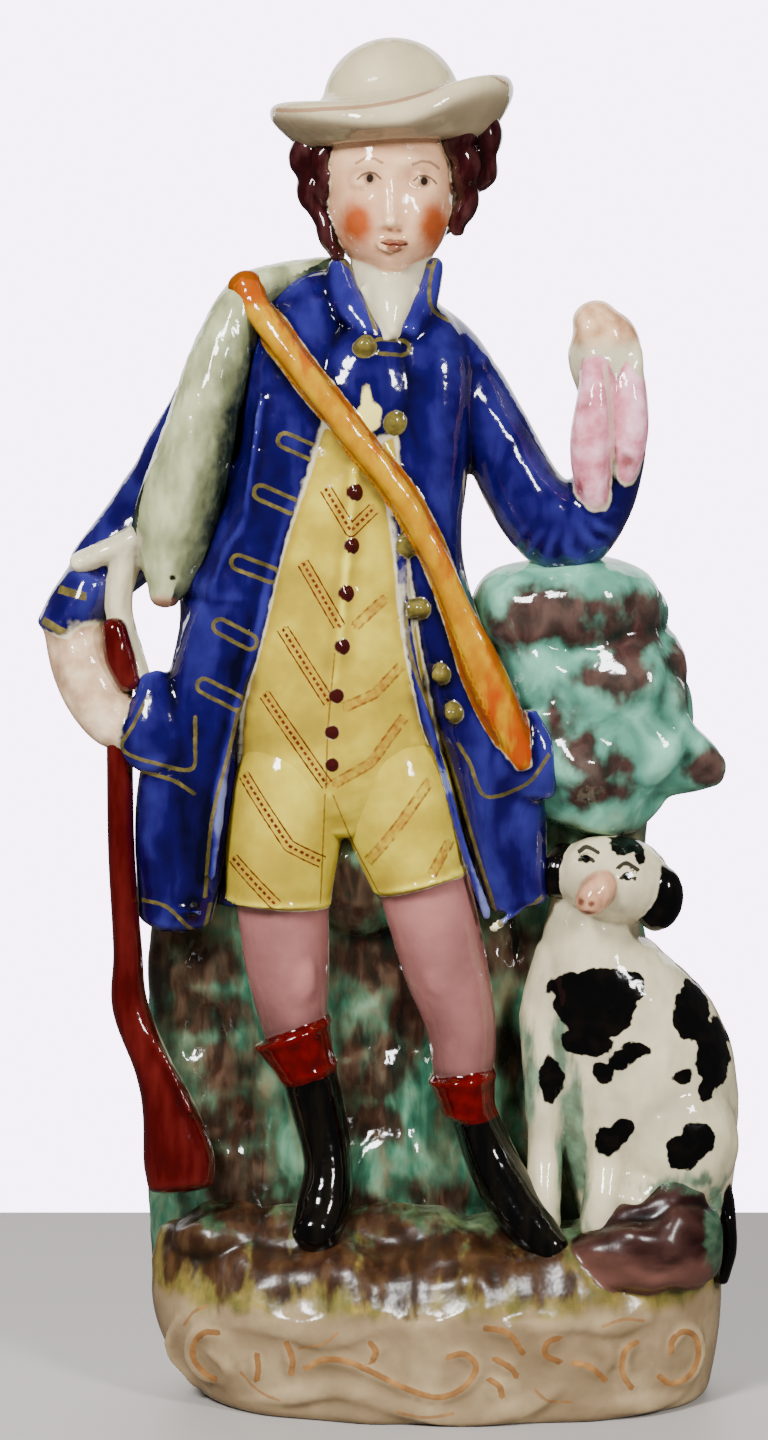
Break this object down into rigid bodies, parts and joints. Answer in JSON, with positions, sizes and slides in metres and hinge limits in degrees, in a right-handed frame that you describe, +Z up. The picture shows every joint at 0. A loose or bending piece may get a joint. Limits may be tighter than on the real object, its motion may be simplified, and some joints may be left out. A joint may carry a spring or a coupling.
{
  "type": "pottery figure",
  "caption": "Glazed pottery figure of a standing sportsman with gun, hare, bird and seated dog, leaning on a rock, on an oval plinth with raised scrolls.",
  "frame": {"origin": "middle of the bounding box at the height of the underside, so the figure stands on z = 0", "axes": "+Z up, along the height; the front looks towards -Y and the depth is along Y; +X is the side of the raised hand and the dog"},
  "size_m": [0.1978, 0.0932, 0.38],
  "materials": {
    "glazed_earthenware": "clear glossy lead glaze over painted colours"
  },
  "bodies": {
    "root": {"figure": "glazed_earthenware"}
  },
  "joints": []
}
